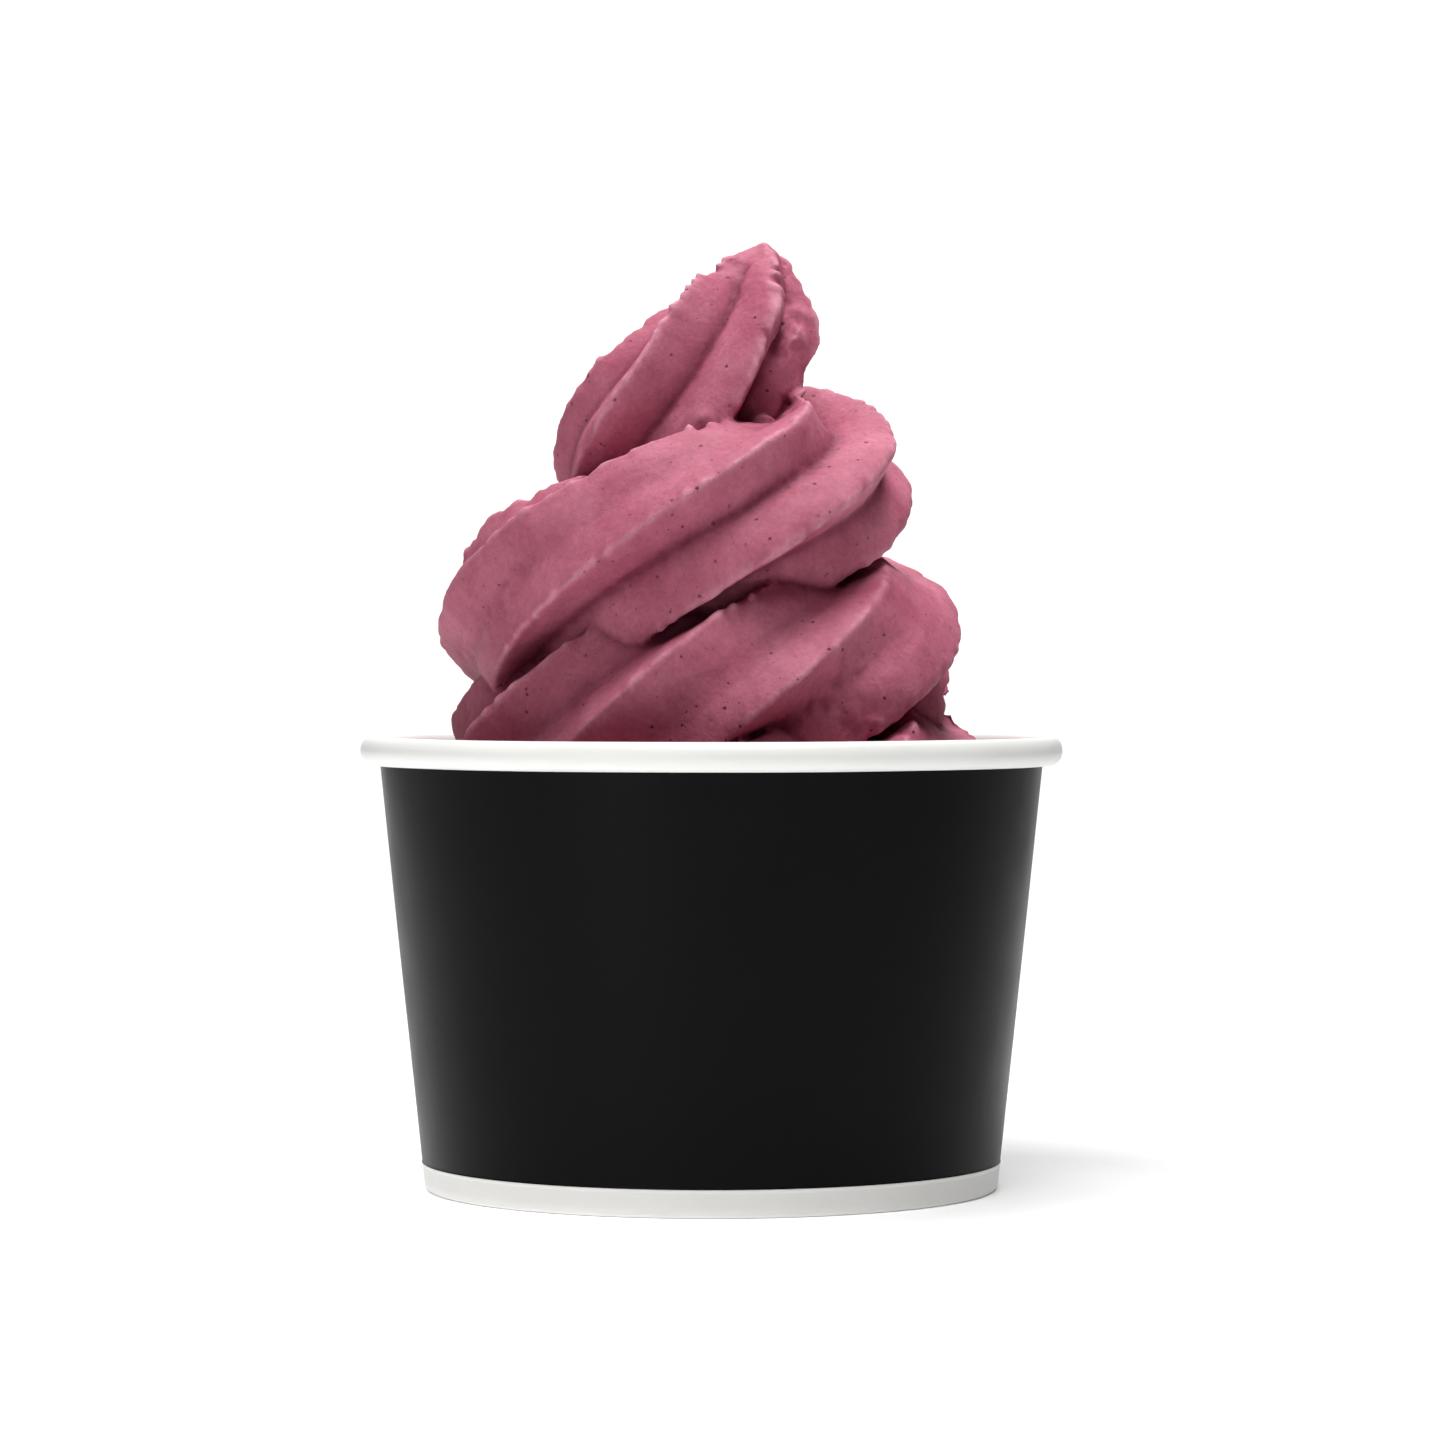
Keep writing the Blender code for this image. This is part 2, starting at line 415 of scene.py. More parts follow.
@dataclass(frozen=True)
class SoftServeFinish:
    """Frozen berry soft serve: compact, aerated, matte, with ground fruit skin and seeds in it.

    Light goes a little way into it, which softens thin ridges. Fine ice and air make the surface
    matte with a broad pale sheen from above, and the skin and seeds show as dark specks. Shade is
    painted into the grooves as a darker colour, and a highlight is painted onto the ridges as a
    paler one.

    Attributes:
        colour: Main colour of the mix.
        pale: Colour where more air is beaten in.
        painted_ridge_highlight: Painted highlight, a paler colour mixed onto the ridges.
        painted_groove_shade: Painted shade, a darker colour mixed into the bottom of the grooves.
        speck_colour: Fruit skin and seeds.
        cloud_size: Size of the pale and dark patches in millimetres.
        speck_gap: Spacing of the larger specks in millimetres.
        speck_size: Their diameter in millimetres.
        dust_gap: Spacing of the fine dust of fruit skin in millimetres.
        crumb_size: Size of the surface's fine crumb in millimetres.
        crumb_depth: Its height in millimetres.
    """

    colour: str = "A8566C"
    pale: str = "C37488"
    painted_ridge_highlight: str = "DFA0B0"
    painted_groove_shade: str = "6A2038"
    speck_colour: str = "501830"
    cloud_size: float = 11.0
    speck_gap: float = 1.9
    speck_size: float = 0.62
    dust_gap: float = 0.9
    crumb_size: float = 0.75
    crumb_depth: float = 0.16

    def specks(self, tree: bpy.types.NodeTree, place: bpy.types.NodeSocket, gap: float,
               size: float, share: float) -> bpy.types.NodeSocket:
        """A mask of specks of many sizes, one in some of the cells of a random lattice.

        The distance to a cell's centre falls from inside a speck to outside it over half of its
        size. Places are shifted by fine noise first, so that no speck is quite round, and a
        cell's random colour draws whether it holds a speck, how large, and how dark.

        Args:
            tree: The material's nodes.
            place: Object coordinates.
            gap: Size of a cell in millimetres.
            size: Diameter of the largest specks in millimetres.
            share: Share of the cells that hold a speck.

        Returns:
            An output that is up to one in a speck and zero elsewhere.
        """
        shift = add_node(tree, "ShaderNodeTexNoise", inputs={
            "Vector": place, "Scale": 2 / (size * MM), "Detail": 1.0})
        shifted = add_node(tree, "ShaderNodeVectorMath", {"operation": "MULTIPLY_ADD"}, {
            0: shift.outputs["Color"], 1: (size * 0.6 * MM,) * 3, 2: place})
        cells = add_node(tree, "ShaderNodeTexVoronoi", inputs={
            "Vector": shifted.outputs["Vector"], "Scale": 1 / (gap * MM), "Randomness": 1.0})
        draw = add_node(tree, "ShaderNodeSeparateColor", inputs={"Color": cells.outputs["Color"]})
        reach = add_node(tree, "ShaderNodeMapRange", inputs={
            "Value": draw.outputs["Green"], "To Min": size / 6 / gap, "To Max": size / 2 / gap})
        ratio = add_node(tree, "ShaderNodeMath", {"operation": "DIVIDE"}, {
            0: cells.outputs["Distance"], 1: reach.outputs["Result"]})
        disc = add_node(tree, "ShaderNodeMapRange", {"interpolation_type": "SMOOTHSTEP"}, {
            "Value": ratio.outputs["Value"], "From Min": 1.2, "From Max": 0.6})
        kept = add_node(tree, "ShaderNodeMapRange", {"interpolation_type": "LINEAR"}, {
            "Value": draw.outputs["Red"], "From Min": share, "From Max": share * 0.3})
        return add_node(tree, "ShaderNodeMath", {"operation": "MULTIPLY"}, {
            0: disc.outputs["Result"], 1: kept.outputs["Result"]}).outputs["Value"]

    def material(self) -> bpy.types.Material:
        """Make the ice cream's material.

        Returns:
            A Principled material on Object coordinates.
        """
        material = bpy.data.materials.new("berry soft serve")
        material.use_nodes = True
        tree = material.node_tree
        shader = tree.nodes["Principled BSDF"]
        place = add_node(tree, "ShaderNodeTexCoord").outputs["Object"]
        air = add_node(tree, "ShaderNodeMapRange", inputs={
            "Value": noise_of(tree, place, self.cloud_size, 4.0, 0.6),
            "From Min": 0.35, "From Max": 0.7})
        mix = add_node(tree, "ShaderNodeMixRGB", inputs={
            "Fac": air.outputs["Result"], "Color1": linear(self.colour),
            "Color2": linear(self.pale)})
        # Painted shade: the deeper a point lies in a groove, the more of a darker colour is mixed
        # in.
        hollow = add_node(tree, "ShaderNodeAttribute", {"attribute_name": HOLLOW})
        groove_shade_share = add_node(tree, "ShaderNodeMapRange", {"interpolation_type": "SMOOTHSTEP"}, {
            "Value": hollow.outputs["Fac"], "From Min": -0.05, "From Max": 0.6, "To Max": 0.9})
        shaded = add_node(tree, "ShaderNodeMixRGB", inputs={
            "Fac": groove_shade_share.outputs["Result"], "Color1": mix.outputs["Color"],
            "Color2": linear(self.painted_groove_shade)})
        # Painted highlight: the further a point stands out on a ridge, the more of a paler colour
        # is mixed in.
        raised = add_node(tree, "ShaderNodeMapRange", {"interpolation_type": "SMOOTHSTEP"}, {
            "Value": hollow.outputs["Fac"], "From Min": -0.25, "From Max": -0.8, "To Max": 0.55})
        painted_ridge_highlight = add_node(tree, "ShaderNodeMixRGB", inputs={
            "Fac": raised.outputs["Result"], "Color1": shaded.outputs["Color"],
            "Color2": linear(self.painted_ridge_highlight)})
        mottle = add_node(tree, "ShaderNodeMapRange", inputs={
            "Value": noise_of(tree, place, self.crumb_size, 3.0, 0.8),
            "From Min": 0.3, "From Max": 0.7, "To Min": 0.84, "To Max": 1.10})
        mottled = add_node(tree, "ShaderNodeVectorMath", {"operation": "SCALE"}, {
            0: painted_ridge_highlight.outputs["Color"], "Scale": mottle.outputs["Result"]})
        large = self.specks(tree, place, self.speck_gap, self.speck_size, 0.65)
        dust = self.specks(tree, place, self.dust_gap, self.speck_size * 0.5, 0.55)
        faint_dust = add_node(tree, "ShaderNodeMath", {"operation": "MULTIPLY"}, {
            0: dust, 1: 0.6})
        mask = add_node(tree, "ShaderNodeMath", {"operation": "MAXIMUM"}, {
            0: large, 1: faint_dust.outputs["Value"]})
        strength = add_node(tree, "ShaderNodeMath", {"operation": "MULTIPLY"}, {
            0: mask.outputs["Value"], 1: 0.85})
        flecked = add_node(tree, "ShaderNodeMixRGB", inputs={
            "Fac": strength.outputs["Value"], "Color1": mottled.outputs["Vector"],
            "Color2": linear(self.speck_colour)})
        pitted = add_node(tree, "ShaderNodeMath", {"operation": "SUBTRACT"}, {
            0: noise_of(tree, place, self.crumb_size, 4.0, 0.65), 1: mask.outputs["Value"]})
        relief = add_node(tree, "ShaderNodeBump", inputs={
            "Height": pitted.outputs["Value"], "Strength": 0.8,
            "Distance": self.crumb_depth * MM})
        tree.links.new(flecked.outputs["Color"], shader.inputs["Base Color"])
        tree.links.new(relief.outputs["Normal"], shader.inputs["Normal"])
        shader.inputs["Roughness"].default_value = 0.58
        shader.inputs["IOR"].default_value = 1.4
        shader.inputs["Specular IOR Level"].default_value = 0.2
        shader.inputs["Subsurface Weight"].default_value = 0.08
        shader.inputs["Subsurface Radius"].default_value = (1.0, 0.45, 0.5)
        shader.inputs["Subsurface Scale"].default_value = 1.0 * MM
        return material


@dataclass(frozen=True)
class BackdropFinish:
    """Matt white studio paper, which gives a plain pale floor and a soft shadow.

    Attributes:
        colour: Of the paper.
        tooth_size: Size of its fine tooth in millimetres.
        tooth_depth: Height of the tooth in millimetres.
    """

    colour: str = "FAFAFA"
    tooth_size: float = 1.5
    tooth_depth: float = 0.01

    def material(self) -> bpy.types.Material:
        """Make the paper's material.

        Returns:
            A Principled material on Object coordinates.
        """
        material = bpy.data.materials.new("matt studio paper")
        material.use_nodes = True
        tree = material.node_tree
        shader = tree.nodes["Principled BSDF"]
        place = add_node(tree, "ShaderNodeTexCoord").outputs["Object"]
        relief = add_node(tree, "ShaderNodeBump", inputs={
            "Height": noise_of(tree, place, self.tooth_size, 2.0), "Strength": 0.05,
            "Distance": self.tooth_depth * MM})
        tree.links.new(relief.outputs["Normal"], shader.inputs["Normal"])
        shader.inputs["Base Color"].default_value = linear(self.colour)
        shader.inputs["Roughness"].default_value = 0.9
        shader.inputs["Specular IOR Level"].default_value = 0.1
        return material


# ---------------------------------------------------------------------------------------------
# The cup
# ---------------------------------------------------------------------------------------------

@dataclass
class PaperCup:
    """A paper ice cream cup: one sheet of board for the wall, and a base disc with a skirt.

    Attributes:
        rim_radius: Outside of the rolled rim, from the frame.
        height: Foot to the top of the roll, from the frame.
        foot_radius: Outside of the wall where it stands.
        roll_height: The roll, top to bottom.
        roll_width: The roll, inside to outside.
        roll_start: Where the roll's free edge is, in degrees, 0 outwards and 90 up.
        paper: Thickness of the board.
        gap: Kept between pieces that touch.
        hem_height: How far the wall folds back up inside the foot.
        fold_radius: Bend of the fold at the foot.
        band_height: Height of the unprinted band at the foot.
        bead: How far the edge of the band stands out, pushed up when the foot was crimped.
        base_height: Top of the base disc.
        skirt_foot: Lower edge of the base's skirt.
        seam_bearing: Where the sheet's outer edge lies, in degrees round the cup.
        seam_width: How far the sheet overlaps itself.
        around: Steps round the cup.
        wobble: How far the rim wanders from a true circle.
    """

    rim_radius: float
    height: float
    foot_radius: float = 39.1
    roll_height: float = 3.9
    roll_width: float = 2.95
    roll_start: float = 240.0
    paper: float = 0.45
    gap: float = 0.3
    hem_height: float = 7.5
    fold_radius: float = 0.6
    band_height: float = 3.8
    bead: float = 0.12
    base_height: float = 9.0
    skirt_foot: float = 1.0
    seam_bearing: float = 62.0
    seam_width: float = 7.0
    around: int = 300
    wobble: float = 0.05

    @classmethod
    def from_frame(cls) -> "PaperCup":
        """Take the rim's radius and the cup's height from the CAD wall."""
        low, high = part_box("cup_wall")
        return cls(rim_radius=round((high.x - low.x) / 2 / MM, 1), height=round(high.z / MM, 1))

    def wall_radius(self, height: np.ndarray | float) -> np.ndarray | float:
        """Outside of the wall: a straight cone from the foot up into the roll.

        Args:
            height: Above the foot.

        Returns:
            The radius there.
        """
        top = self.rim_radius - self.roll_width + self.paper
        middle_of_roll = self.height - self.roll_height / 2
        return self.foot_radius + (top - self.foot_radius) * height / middle_of_roll

    def sheet_path(self) -> tuple[np.ndarray, np.ndarray]:
        """The printed face of the sheet as (radius, height), from the roll's edge to the hem's.

        An ellipse round the inside of the roll, the straight wall with a small bead where the
        print ends, a quarter circle at each side of the foot, and the hem, which leans as the
        wall does.

        Returns:
            The points, and for each step between them whether it lies on the black print.
        """
        middle = np.array([self.rim_radius - self.roll_width / 2,
                           self.height - self.roll_height / 2])
        half = np.array([self.roll_width, self.roll_height]) / 2 - self.paper
        angle = np.radians(np.linspace(self.roll_start, 540.0, 49))
        roll = middle + half * np.stack([np.cos(angle), np.sin(angle)], axis=1)
        rise = np.concatenate([
            np.linspace(middle[1] - 1.0, self.band_height + 1.0, 24),
            self.band_height + np.linspace(0.7, -0.7, 15),
            np.linspace(self.band_height - 1.2, self.fold_radius + 0.2, 4)])
        bead = self.bead * np.exp(-((rise - self.band_height + 0.15) / 0.22) ** 2)
        wall = np.stack([self.wall_radius(rise) + bead, rise], axis=1)
        hem_radius = self.foot_radius - 3 * self.paper - 2 * self.gap
        turn = np.radians(np.linspace(0.0, 90.0, 7))
        fold = self.fold_radius
        outer = np.stack([self.foot_radius - fold + fold * np.cos(turn),
                          fold - fold * np.sin(turn)], axis=1)
        inner = np.stack([hem_radius + fold - fold * np.sin(turn),
                          fold - fold * np.cos(turn)], axis=1)
        lean = self.wall_radius(self.hem_height) - self.foot_radius
        hem_rise = np.linspace(1.5, self.hem_height, 5)
        hem = np.stack([hem_radius + lean * hem_rise / self.hem_height, hem_rise], axis=1)
        path = np.concatenate([roll, wall, outer, inner, hem])
        middles = (path[1:, 1] + path[:-1, 1]) / 2
        steps = np.arange(len(middles))
        printed = (middles > self.band_height) & (steps < len(roll) + len(wall))
        return path, printed

    def both_faces(self, path: np.ndarray) -> tuple[np.ndarray, np.ndarray]:
        """A sheet's section as a closed loop, and how deep in the sheet each point lies.

        The second face is the path moved by the board's thickness along its own normal, which is
        the path's direction turned a quarter turn. The path's two ends are joined across.

        Args:
            path: Points (radius, height) down the printed face.

        Returns:
            The normals at the loop's points (printed face, then the other face backwards), and
            their depth: 0 on the printed face and 1 on the other.
        """
        along = np.gradient(path, axis=0)
        along /= np.linalg.norm(along, axis=1, keepdims=True)
        into = np.stack([along[:, 1], -along[:, 0]], axis=1)
        normals = np.concatenate([into, into[::-1]])
        depth = np.concatenate([np.zeros(len(path)), np.ones(len(path))])
        return normals, depth

    def bearings(self) -> np.ndarray:
        """Angles round the cup, closer together where the sheet's two edges make steps."""
        even = np.linspace(0.0, 2 * np.pi, self.around, endpoint=False)
        start = math.radians(self.seam_bearing)
        reach = self.seam_width / self.rim_radius
        fine = np.concatenate([start + np.linspace(-0.004, 0.008, 9),
                               start + reach + np.linspace(-0.004, 0.008, 9)])
        return np.unique(np.concatenate([even, fine]))

    def turned_sheet(self, path: np.ndarray, seamed: bool) -> np.ndarray:
        """Carry a sheet's section round the cup.

        Where the sheet overlaps itself it is two boards thick. Its printed face steps out by one
        board at the outer edge, and comes back over three seam widths.

        Args:
            path: Points (radius, height) down the printed face.
            seamed: Whether the sheet has an overlap.

        Returns:
            Array (bearings, loop points, 3). The bearings fall, so that faces point out.
        """
        normals, depth = self.both_faces(path)
        loop = np.concatenate([path, path[::-1]])
        bearing = self.bearings()
        past = (bearing - math.radians(self.seam_bearing)) * self.rim_radius
        width, edge = self.seam_width, 0.25
        overlap = smooth_step(0.0, edge, past) * (1.0 if seamed else 0.0)
        step_out = (overlap * (1 - smooth_step(width, 4 * width, past)))[:, None]
        doubled = (overlap * (1 - smooth_step(width, width + edge, past)))[:, None]
        shift = -self.paper * step_out + self.paper * (1 + doubled) * depth[None, :]
        radius = loop[None, :, 0] + normals[None, :, 0] * shift
        height = np.maximum(loop[None, :, 1] + normals[None, :, 1] * shift, 0.0)
        high = smooth_step(self.height * 0.5, self.height, height)
        wander = sum(np.cos(count * bearing + phase)
                     for count, phase in ((2, 0.4), (3, 2.1), (5, 4.0)))[:, None]
        radius = radius - self.wobble * high * (wander / 3 + 1)
        waves = (np.cos(4 * bearing + 1.0) + np.cos(7 * bearing + 3.0))[:, None]
        dip = self.wobble * high * (waves + 2)
        return np.stack([radius * np.cos(bearing)[:, None], radius * np.sin(bearing)[:, None],
                         height - dip / 4], axis=-1)[::-1]

    def build_wall(self) -> bpy.types.Object:
        """Make the side wall, black where the print is and white at the rim, inside and foot.

        Returns:
            The wall.
        """
        path, printed = self.sheet_path()
        grid = self.turned_sheet(path, seamed=True)
        mesh = mesh_from_grid("cup_wall_board", grid, close_rows=True, cap_ends=False)
        columns = grid.shape[1]
        slots = np.full(columns, 1)
        slots[:len(printed)] = np.where(printed, 0, 1)
        foot = len(path)
        band = (np.arange(columns) < foot) & (slots == 1) & (np.arange(columns) > len(printed) // 3)
        slots[band] = 2
        mesh.polygons.foreach_set("material_index", np.tile(slots, grid.shape[0]).astype(np.int32))
        for finish in (BoardFinish(BoardSide.PRINTED, roughness=0.34, specular=0.05),
                       BoardFinish(BoardSide.COATED), BoardFinish(BoardSide.FOOT_BAND)):
            mesh.materials.append(finish.material())
        return show("cup_wall_board", mesh)

    def base_path(self) -> np.ndarray:
        """The base's upper face: flat, a rounded shoulder, and the skirt, as (radius, height)."""
        inset = self.paper + self.gap
        shoulder = 0.8
        edge = self.wall_radius(self.base_height) - inset
        turn = np.radians(np.linspace(90.0, 0.0, 8))
        flat = np.linspace(0.0, edge - shoulder - 0.3, 14)
        corner = np.stack([edge - shoulder + shoulder * np.cos(turn),
                           self.base_height - shoulder + shoulder * np.sin(turn)], axis=1)
        rise = np.linspace(self.base_height - shoulder - 0.5, self.skirt_foot, 8)
        skirt = np.stack([self.wall_radius(rise) - inset, rise], axis=1)
        return np.concatenate([np.stack([flat, np.full_like(flat, self.base_height)], axis=1),
                               corner, skirt])

    def build_base(self) -> bpy.types.Object:
        """Make the base disc, whose underside shows in the foot's recess.

        Returns:
            The base.
        """
        grid = self.turned_sheet(self.base_path(), seamed=False)
        mesh = mesh_from_grid("cup_base_board", grid, close_rows=True, cap_ends=False)
        join_poles(mesh)
        mesh.materials.append(BoardFinish(BoardSide.COATED).material())
        return show("cup_base_board", mesh)

    def build(self) -> list[tuple[bpy.types.Object, str, str]]:
        """Make both pieces.

        Returns:
            For each piece, itself, the CAD node that it stands for and a label that tells the
            board from the ice cream.
        """
        return [(self.build_wall(), "cup_wall", "cup_board"),
                (self.build_base(), "cup_base", "base_board")]


# ---------------------------------------------------------------------------------------------
# The ice cream
# ---------------------------------------------------------------------------------------------

@dataclass(frozen=True)
class Station:
    """The rope at one place along its length.

    Attributes:
        turn: Turns from the left of the uppermost full coil.
        reach: From the cup's axis to the rope's middle.
        height: Of the rope's middle.
        radius: Of the rope, over its ridges.
        lead: Degrees by which the ridges lead an even twist of one turn in each coil.
        last_lead: Degrees by which the last ridge leads the others.
    """

    turn: float
    reach: float
    height: float
    radius: float
    lead: float
    last_lead: float


def quarter_turn_stations() -> list[Station]:
    """The rope's stations, one for each quarter turn and a few more in the tip.

    Returns:
        The stations, from the bulk in the cup up to the tip.
    """
    rows = (
        (-2.25, 27.5, 38.0, 16.0, -85, 0), (-2.00, 27.5, 41.0, 16.0, -85, 0),
        (-1.75, 27.0, 46.0, 16.0, -85, 0), (-1.50, 24.5, 52.0, 15.5, -80, 0),
        (-1.25, 24.0, 54.5, 15.5, -80, 0), (-1.00, 22.5, 57.5, 15.0, -75, 0),
        (-0.75, 19.0, 66.5, 15.0, -45, 0), (-0.50, 20.5, 72.5, 14.5, -30, 5),
        (-0.25, 22.5, 74.5, 14.0, -20, 5), (0.00, 23.5, 78.5, 14.0, -5, 0),
        (0.25, 18.5, 90.0, 13.5, 0, 0), (0.50, 14.5, 96.0, 13.0, 0, 5),
        (0.75, 11.5, 98.5, 13.0, 5, 10), (1.00, 8.5, 101.5, 13.0, 15, 15),
        (1.25, 4.5, 110.5, 12.0, 10, 15), (1.40, 4.9, 116.5, 10.5, 10, 15),
        (1.50, 5.7, 121.0, 8.2, 10, 15), (1.56, 7.1, 125.3, 4.7, 10, 15),
        (1.60, 8.8, 129.4, 0.5, 10, 15),
    )
    return [Station(*row) for row in rows]


@dataclass(frozen=True)
class Dab:
    """A scrap of ice cream stuck to the rope: a lumpy ball, stretched and leant.

    Attributes:
        place: Its middle in millimetres.
        size: Half its width, depth and height.
        lean: Degrees that its width leans up to the right, seen from the front.
    """

    place: tuple[float, float, float]
    size: tuple[float, float, float]
    lean: float = 0.0

    def grid(self) -> np.ndarray:
        """The scrap's surface on a grid of (latitude, longitude).

        A unit ball with coarse noise on its radius is stretched to size, and turned about Y.

        Returns:
            Array (rows, columns, 3).
        """
        latitude = np.radians(np.linspace(84.0, -84.0, 18))[:, None]
        longitude = np.linspace(0.0, 2 * np.pi, 28, endpoint=False)[None, :]
        ball = np.stack(np.broadcast_arrays(np.cos(latitude) * np.cos(longitude),
                                            np.cos(latitude) * np.sin(longitude),
                                            np.sin(latitude)), axis=-1)
        lumps = 1 + 0.35 * layered_noise(ball + np.array(self.place), 0.8, 2, seed=61)
        x, y, z = np.moveaxis(ball * lumps[..., None] * np.array(self.size), -1, 0)
        lean = math.radians(self.lean)
        leant = np.stack([x * math.cos(lean) - z * math.sin(lean), y,
                          x * math.sin(lean) + z * math.cos(lean)], axis=-1)
        return leant + np.array(self.place)


def stuck_scraps() -> tuple[Dab, ...]:
    """The scraps that the rope's end left at the tip, in the crevice and at the right."""
    return (
        Dab((7.3, 4.6, 128.5), (0.8, 0.9, 0.8)), Dab((8.5, 3.6, 127.5), (0.8, 0.9, 0.7)),
        Dab((9.6, 2.2, 126.0), (0.7, 0.9, 0.8)), Dab((4.6, 2.4, 127.0), (0.9, 0.8, 0.5), 30.0),
        Dab((12.6, -3.6, 114.6), (0.7, 1.6, 0.7), -20.0),
        Dab((6.8, -8.6, 104.4), (1.5, 0.9, 0.7), 10.0),
        Dab((11.6, -6.8, 107.9), (1.5, 1.1, 0.5), 35.0),
        Dab((21.0, -24.0, 65.0), (2.2, 0.6, 0.40), -38.0),
        Dab((19.2, -24.2, 65.6), (2.0, 0.6, 0.38), -44.0),
        Dab((15.8, -25.0, 66.8), (1.4, 0.6, 0.40), 20.0),
        Dab((17.4, -24.4, 64.6), (1.6, 0.6, 0.40), -25.0),
    )


@dataclass(frozen=True)
class Touch:
    """A place where the skin is pushed out or in, or torn into small folds.

    Attributes:
        place: Its middle in millimetres.
        reach: Distance at which it has faded to 0.6 of its strength, as a bell curve does.
        push: How far the skin stands out there, negative for pushed in.
        tear: Height of the folds there.
    """

    place: tuple[float, float, float]
    reach: float
    push: float = 0.0
    tear: float = 0.0


def rough_places() -> tuple[Touch, ...]:
    """Where the rope was pulled off, folded onto itself and smeared."""
    return (
        Touch((12.6, -3.5, 111.6), 1.3, push=-1.7), Touch((11.5, -6.0, 118.0), 4.0, tear=0.55),
        Touch((33.6, -2.0, 73.0), 0.7, push=1.3), Touch((33.0, -4.0, 69.6), 1.0, push=-0.7),
        Touch((32.6, 5.0, 67.0), 3.6, push=-1.7),
        Touch((10.8, -7.0, 116.5), 2.6, tear=0.45), Touch((18.0, -24.6, 63.6), 3.0, push=-0.8),
        Touch((9.0, 1.5, 126.0), 2.8, tear=0.55), Touch((4.0, -1.0, 127.0), 2.2, tear=0.35),
        Touch((-0.9, -15.0, 104.6), 0.9, push=0.6), Touch((-0.5, -18.0, 103.0), 2.8, tear=0.28),
        Touch((9.3, -7.2, 105.3), 2.4, tear=0.45), Touch((17.5, -24.5, 66.4), 3.6, tear=0.55),
        Touch((24.0, -22.0, 65.5), 2.6, tear=0.30), Touch((-13.0, 9.0, 108.0), 3.5, tear=0.30),
        Touch((-26.0, 16.0, 84.0), 4.0, tear=0.35), Touch((20.0, 26.0, 74.0), 4.0, tear=0.35),
    )


